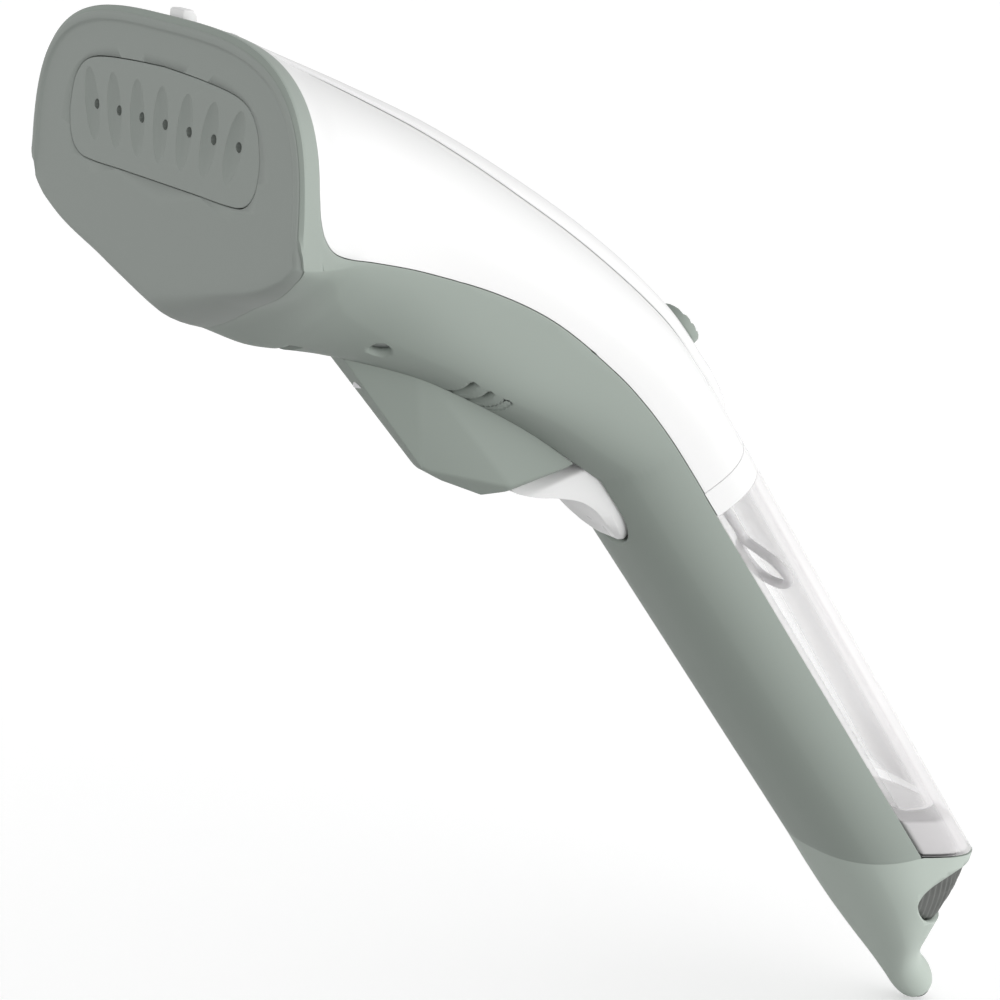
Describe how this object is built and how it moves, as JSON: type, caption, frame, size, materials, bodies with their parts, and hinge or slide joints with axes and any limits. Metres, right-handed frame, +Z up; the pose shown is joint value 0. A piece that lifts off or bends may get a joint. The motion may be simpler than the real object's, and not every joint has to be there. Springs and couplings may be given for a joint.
{
  "type": "handheld garment steamer",
  "caption": "Handheld clothes steamer with an upright steam face, a bent body, a trigger under the neck and a clear lift-off water tank behind the handle.",
  "frame": {"origin": "on the flat of the face plate, on the centre plane, 20 mm below the row of steam holes", "axes": "X across the steamer, -Y the way the steam leaves, +Z up with the steam face upright"},
  "size_m": [0.1046, 0.23, 0.2375],
  "materials": {
    "sage": "satin moulded plastic",
    "white": "glossy moulded plastic",
    "clear": "clear polished plastic",
    "grey_rubber": "matt",
    "dark_grey": "matt",
    "silicone": "matt silicone",
    "aluminium": "die cast",
    "steel": "plain",
    "green_board": "solder mask"
  },
  "bodies": {
    "root": {"face_plate": "sage", "steam_insert": "sage", "steam_gasket": "silicone", "steam_manifold": "aluminium", "boiler_body": "aluminium", "heating_element": "steel", "boiler_cover": "steel", "boiler_screw_1": "steel", "boiler_screw_2": "steel", "boiler_screw_3": "steel", "boiler_screw_4": "steel", "thermostat": "dark_grey", "thermal_fuse": "steel", "upper_housing": "white", "lower_housing": "sage", "spine_cover": "white", "accessory_catch": "white", "slide_switch": "dark_grey", "neck_screw_left": "steel", "neck_screw_right": "steel", "handle_liner": "white", "trigger_guard": "sage", "guard_screw": "steel", "trigger_pin": "steel", "trigger_spring": "steel", "micro_switch": "dark_grey", "pump_body": "dark_grey", "pump_cradle": "dark_grey", "pump_spring": "steel", "feed_hose": "silicone", "water_hose": "silicone", "circuit_board": "green_board", "relay": "dark_grey", "capacitor": "dark_grey", "inner_lead": "dark_grey", "tank_dock": "white", "dock_seal": "grey_rubber", "tail_cap": "sage", "cord_gland": "dark_grey", "release_spring_left": "steel", "release_spring_right": "steel"},
    "trigger_lever": {"trigger": "white"},
    "slider": {"mode_slider": "sage"},
    "tank": {"water_tank": "clear", "tank_cap": "white", "outlet_valve": "white"},
    "plug": {"filler_plug": "grey_rubber", "filler_tether": "grey_rubber"},
    "button_left": {"release_button_left": "dark_grey"},
    "button_right": {"release_button_right": "dark_grey"},
    "plunger": {"pump_plunger": "steel"}
  },
  "joints": [
    {"name": "trigger_pull", "type": "hinge", "parent": "root", "child": "trigger_lever", "pos_m": [0, 0.0876, -0.04504], "axis": [1, 0, 0], "range_deg": [0, 8], "stiffness_Nm_per_rad": 0.35, "springref_deg": -5.73, "deforming": ["trigger_spring"]},
    {"name": "mode_slide", "type": "slide", "parent": "root", "child": "slider", "axis": [0, 0.6704, -0.742], "range_m": [0, 0.004]},
    {"name": "tank_release", "type": "slide", "parent": "root", "child": "tank", "axis": [0, 0.8579, 0.5138], "range_m": [0, 0.05]},
    {"name": "plug_lift", "type": "slide", "parent": "tank", "child": "plug", "axis": [0, -0.6392, 0.7691], "range_m": [0, 0.007]},
    {"name": "button_left_press", "type": "slide", "parent": "root", "child": "button_left", "axis": [1, 0, 0], "range_m": [0, 0.002], "stiffness_N_per_m": 400, "springref_m": -0.002, "deforming": ["release_spring_left"]},
    {"name": "button_right_press", "type": "slide", "parent": "root", "child": "button_right", "axis": [-1, 0, 0], "range_m": [0, 0.002], "stiffness_N_per_m": 400, "springref_m": -0.002, "deforming": ["release_spring_right"]},
    {"name": "plunger_stroke", "type": "slide", "parent": "root", "child": "plunger", "axis": [0, -0.908, 0.4191], "range_m": [0, 0.002], "stiffness_N_per_m": 300, "springref_m": -0.002, "deforming": ["pump_spring"]}
  ]
}
